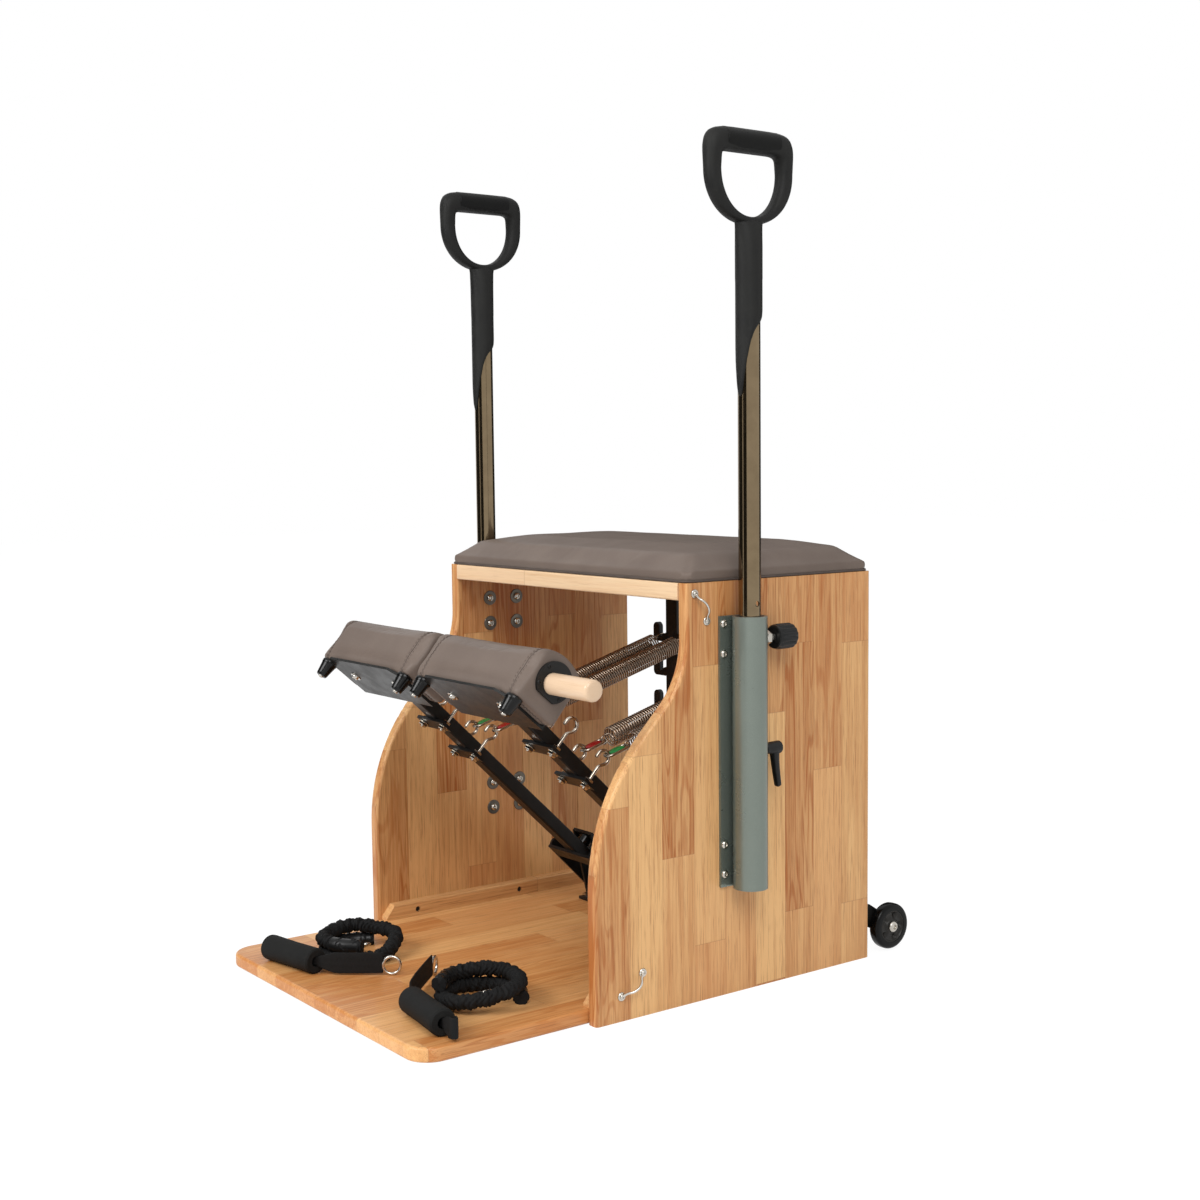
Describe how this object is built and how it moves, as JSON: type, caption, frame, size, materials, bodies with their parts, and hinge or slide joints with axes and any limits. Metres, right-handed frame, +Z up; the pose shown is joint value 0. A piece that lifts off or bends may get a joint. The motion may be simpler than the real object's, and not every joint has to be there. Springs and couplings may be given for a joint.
{
  "type": "pilates chair",
  "caption": "Pilates chair: timber cabinet with padded seat, linked sprung foot pedals on hinged arms, adjustable upright handles and resistance cords.",
  "frame": {"origin": "on the floor, midway between the side panels, 350 mm in front of the cabinet's rear face", "axes": "+X to the right of someone who faces the chair's front, +Y to the chair's back, +Z up"},
  "size_m": [0.7409, 0.8825, 1.222],
  "materials": {
    "rubberwood": "satin lacquer",
    "seat_leather": "soft matte, stitched",
    "black_steel": "satin powder coat",
    "bright_fasteners": "bright",
    "pole_chrome": "smoky polish",
    "sleeve_paint": "metallic powder coat",
    "bush_plastic": "matte",
    "grip_plastic": "fine texture",
    "stop_rubber": "satin",
    "wheel_tyre": "matte",
    "spring_steel": "dark, bright turns",
    "insert_plastic": "satin",
    "grip_foam": "foam",
    "webbing": "woven",
    "cord_sleeve": "ruched",
    "dowel_wood": "clear varnish"
  },
  "bodies": {
    "frame": {"side_panel_left": "rubberwood", "side_panel_right": "rubberwood", "base_board": "rubberwood", "base_cleats": "rubberwood", "cleat_screws": "bright_fasteners", "seat_board": "rubberwood", "seat_cushion": "seat_leather", "spring_trees": "black_steel", "pivot_brackets": "black_steel", "pivot_pins": "bright_fasteners", "rubber_stops": "stop_rubber", "frame_bolts": "bright_fasteners", "handle_sleeves": "sleeve_paint", "sleeve_liners": "bush_plastic", "sleeve_bolts": "bright_fasteners", "index_housings": "bright_fasteners", "wheel_brackets": "black_steel", "wheel_bolts": "bright_fasteners", "pad_eyes": "bright_fasteners", "spring_pair_left": "spring_steel", "spring_pair_right": "spring_steel", "foam_grips": "grip_foam", "grip_straps": "webbing", "strap_rings": "bright_fasteners", "cord_coil_left": "cord_sleeve", "cord_coil_right": "cord_sleeve", "cord_clips": "bright_fasteners"},
    "right_pedal": {"pedal_frame_right": "black_steel", "pivot_bushes_right": "bush_plastic", "spring_hooks_right": "bright_fasteners", "pad_bracket_right": "black_steel", "pedal_fasteners_right": "bright_fasteners", "pad_bumpers_right": "stop_rubber", "foot_pad_right": "seat_leather", "pad_flange_right": "black_steel", "spring_links_right": "bright_fasteners", "link_inserts_right": "insert_plastic"},
    "left_pedal": {"pedal_frame_left": "black_steel", "pivot_bushes_left": "bush_plastic", "spring_hooks_left": "bright_fasteners", "pad_bracket_left": "black_steel", "pedal_fasteners_left": "bright_fasteners", "pad_bumpers_left": "stop_rubber", "foot_pad_left": "seat_leather", "pad_flange_left": "black_steel", "spring_links_left": "bright_fasteners", "link_inserts_left": "insert_plastic"},
    "dowel": {"dowel": "dowel_wood"},
    "handle_right": {"handle_pole_right": "pole_chrome", "handle_grip_right": "grip_plastic"},
    "handle_left": {"handle_pole_left": "pole_chrome", "handle_grip_left": "grip_plastic"},
    "index_pin_right": {"index_pin_right": "grip_plastic"},
    "index_pin_left": {"index_pin_left": "grip_plastic"},
    "clamp_lever_right": {"clamp_lever_right": "grip_plastic"},
    "clamp_lever_left": {"clamp_lever_left": "grip_plastic"},
    "wheel_right": {"wheel_tyre_right": "wheel_tyre", "wheel_hub_right": "bush_plastic"},
    "wheel_left": {"wheel_tyre_left": "wheel_tyre", "wheel_hub_left": "bush_plastic"}
  },
  "joints": [
    {"name": "right_pedal_hinge", "type": "hinge", "parent": "frame", "child": "right_pedal", "pos_m": [0.14875, 0.205, 0.0465], "axis": [1, 0, 0], "range_deg": [0, 38], "stiffness_Nm_per_rad": 60, "springref_deg": -34.38, "deforming": ["spring_pair_right"]},
    {"name": "left_pedal_hinge", "type": "hinge", "parent": "frame", "child": "left_pedal", "pos_m": [-0.14875, 0.205, 0.0465], "axis": [1, 0, 0], "range_deg": [0, 38], "stiffness_Nm_per_rad": 60, "springref_deg": -34.38, "deforming": ["spring_pair_left"]},
    {"name": "dowel_slide", "type": "slide", "parent": "right_pedal", "child": "dowel", "axis": [1, 0, 0], "range_m": [0, 0.62]},
    {"name": "handle_right_slide", "type": "slide", "parent": "frame", "child": "handle_right", "axis": [0, 0, 1], "range_m": [-0.15, 0.15]},
    {"name": "handle_left_slide", "type": "slide", "parent": "frame", "child": "handle_left", "axis": [0, 0, 1], "range_m": [-0.15, 0.15]},
    {"name": "index_pin_right_pull", "type": "slide", "parent": "frame", "child": "index_pin_right", "axis": [0, 1, 0], "range_m": [0, 0.01], "stiffness_N_per_m": 800, "springref_m": -0.005},
    {"name": "index_pin_left_pull", "type": "slide", "parent": "frame", "child": "index_pin_left", "axis": [0, 1, 0], "range_m": [0, 0.01], "stiffness_N_per_m": 800, "springref_m": -0.005},
    {"name": "clamp_lever_right_turn", "type": "hinge", "parent": "frame", "child": "clamp_lever_right", "pos_m": [0.341, 0.08, 0.358], "axis": [0, 1, 0], "range_deg": [-90, 20]},
    {"name": "clamp_lever_left_turn", "type": "hinge", "parent": "frame", "child": "clamp_lever_left", "pos_m": [-0.341, 0.08, 0.358], "axis": [0, 1, 0], "range_deg": [-20, 90]},
    {"name": "wheel_right_spin", "type": "hinge", "parent": "frame", "child": "wheel_right", "pos_m": [0.3017, 0.404, 0.038], "axis": [1, 0, 0], "continuous": true},
    {"name": "wheel_left_spin", "type": "hinge", "parent": "frame", "child": "wheel_left", "pos_m": [-0.3017, 0.404, 0.038], "axis": [1, 0, 0], "continuous": true}
  ],
  "couplings": [
    {"joint": "left_pedal_hinge", "follows": "right_pedal_hinge", "ratio": 1}
  ]
}
